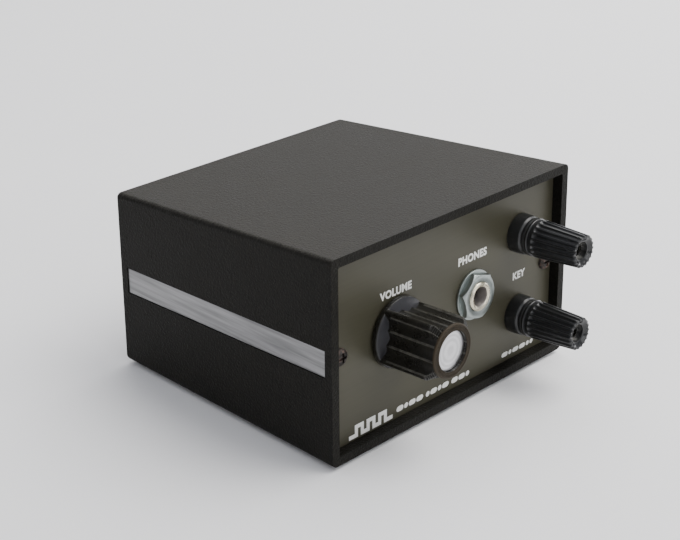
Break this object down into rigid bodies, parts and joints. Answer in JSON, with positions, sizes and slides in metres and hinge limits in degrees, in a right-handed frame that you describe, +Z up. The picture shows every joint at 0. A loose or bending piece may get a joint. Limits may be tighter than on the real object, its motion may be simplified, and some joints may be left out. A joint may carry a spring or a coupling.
{
  "type": "code practice oscillator",
  "caption": "Small bench tone unit with a volume knob, a phones socket and two screw terminals for a morse key, battery and loudspeaker inside.",
  "frame": {"origin": "middle of the whole part's footprint, on the surface that the feet stand on", "axes": "+X to the right seen from the front, +Y towards the rear, +Z up; the panel faces -Y and leans back by 2.25 degrees"},
  "size_m": [0.1142, 0.1222, 0.0681],
  "materials": {
    "battery_case": "plain jacket",
    "board_laminate": "phenolic board with printed copper",
    "brass": "nickelled brass",
    "brushed_trim": "lengthwise brushed",
    "capacitor_sleeve": "blue sleeve",
    "case_plastic": "black moulded plastic with a fine leather grain",
    "ceramic": "brown ceramic",
    "cone_paper": "black paper",
    "foot_rubber": "brown rubber",
    "knob_disc_metal": "fine spun face",
    "knob_plastic": "glossy black",
    "panel_metal": "brushed, olive grey",
    "phenolic": "brown laminate",
    "post_plastic": "black moulding",
    "resistor_body": "tan body with colour bands",
    "screw_steel": "tarnished cross-recess screws",
    "speaker_metal": "pressed steel",
    "steel": "plain",
    "stud_nickel": "nickel plate",
    "tone_plastic": "blue moulding",
    "transistor_epoxy": "black epoxy",
    "wire_insulation": "PVC insulation",
    "zinc_hardware": "bright zinc plate"
  },
  "bodies": {
    "case": {"battery": "battery_case", "battery_clip": "steel", "battery_snap": "phenolic", "board_screws": "steel", "board_standoffs": "brass", "case_shell": "case_plastic", "circuit_board": "board_laminate", "disc_capacitors": "ceramic", "electrolytic_capacitors": "capacitor_sleeve", "front_panel": "panel_metal", "hookup_wires": "wire_insulation", "jack_bushing": "brass", "jack_frame": "steel", "jack_insulator": "phenolic", "jack_lugs": "brass", "jack_nut": "zinc_hardware", "jack_washer": "zinc_hardware", "lower_post_base": "post_plastic", "lower_post_insulator": "post_plastic", "lower_post_lug": "brass", "lower_post_nut": "zinc_hardware", "lower_post_stud": "stud_nickel", "panel_screws": "screw_steel", "resistors": "resistor_body", "rubber_feet": "foot_rubber", "side_trim_left": "brushed_trim", "side_trim_right": "brushed_trim", "speaker_frame": "speaker_metal", "speaker_magnet": "speaker_metal", "speaker_screws": "steel", "tone_control_body": "tone_plastic", "transistors": "transistor_epoxy", "upper_post_base": "post_plastic", "upper_post_insulator": "post_plastic", "upper_post_lug": "brass", "upper_post_nut": "zinc_hardware", "upper_post_stud": "stud_nickel", "volume_housing": "steel", "volume_lugs": "brass", "volume_nut": "zinc_hardware", "volume_track": "phenolic", "volume_washer": "zinc_hardware"},
    "volume_control": {"volume_knob": "knob_plastic", "knob_disc": "knob_disc_metal", "knob_set_screw": "steel", "volume_shaft": "steel", "volume_wiper": "phenolic"},
    "upper_clamp": {"upper_post_clamp_ring": "stud_nickel"},
    "upper_cap": {"upper_post_cap": "post_plastic"},
    "lower_clamp": {"lower_post_clamp_ring": "stud_nickel"},
    "lower_cap": {"lower_post_cap": "post_plastic"},
    "jack_tip_contact": {"jack_tip_spring": "brass"},
    "speaker_cone_assembly": {"speaker_cone": "cone_paper"},
    "tone_rotor": {"tone_control_rotor": "tone_plastic"}
  },
  "joints": [
    {"name": "volume_turn", "type": "hinge", "parent": "case", "child": "volume_control", "pos_m": [-0.025, -0.0347, 0.03464], "axis": [0, -0.9992, 0.0393], "range_deg": [-150, 150]},
    {"name": "tone_turn", "type": "hinge", "parent": "case", "child": "tone_rotor", "pos_m": [-0.034, 0.06003, 0.03092], "axis": [0, 0.9992, -0.0393], "range_deg": [-135, 135]},
    {"name": "jack_tip_flex", "type": "hinge", "parent": "case", "child": "jack_tip_contact", "pos_m": [0.0124, -0.01997, 0.04026], "axis": [1, 0, 0], "range_deg": [0, 6], "stiffness_Nm_per_rad": 0.05},
    {"name": "speaker_cone_travel", "type": "slide", "parent": "case", "child": "speaker_cone_assembly", "axis": [0, 0.9992, -0.0393], "range_m": [-0.0008, 0.0008], "stiffness_N_per_m": 800},
    {"name": "upper_cap_lift", "type": "slide", "parent": "case", "child": "upper_clamp", "axis": [0, -0.9992, 0.0393], "range_m": [0, 0.0032]},
    {"name": "upper_cap_turn", "type": "hinge", "parent": "upper_clamp", "child": "upper_cap", "pos_m": [0.036, -0.03414, 0.04893], "axis": [0, -0.9992, 0.0393], "range_deg": [0, 1440]},
    {"name": "lower_cap_lift", "type": "slide", "parent": "case", "child": "lower_clamp", "axis": [0, -0.9992, 0.0393], "range_m": [0, 0.0032]},
    {"name": "lower_cap_turn", "type": "hinge", "parent": "lower_clamp", "child": "lower_cap", "pos_m": [0.036, -0.03526, 0.02035], "axis": [0, -0.9992, 0.0393], "range_deg": [0, 1440]}
  ],
  "couplings": [
    {"joint": "upper_cap_turn", "follows": "upper_cap_lift", "rad_per_m": 7854},
    {"joint": "lower_cap_turn", "follows": "lower_cap_lift", "rad_per_m": 7854}
  ]
}
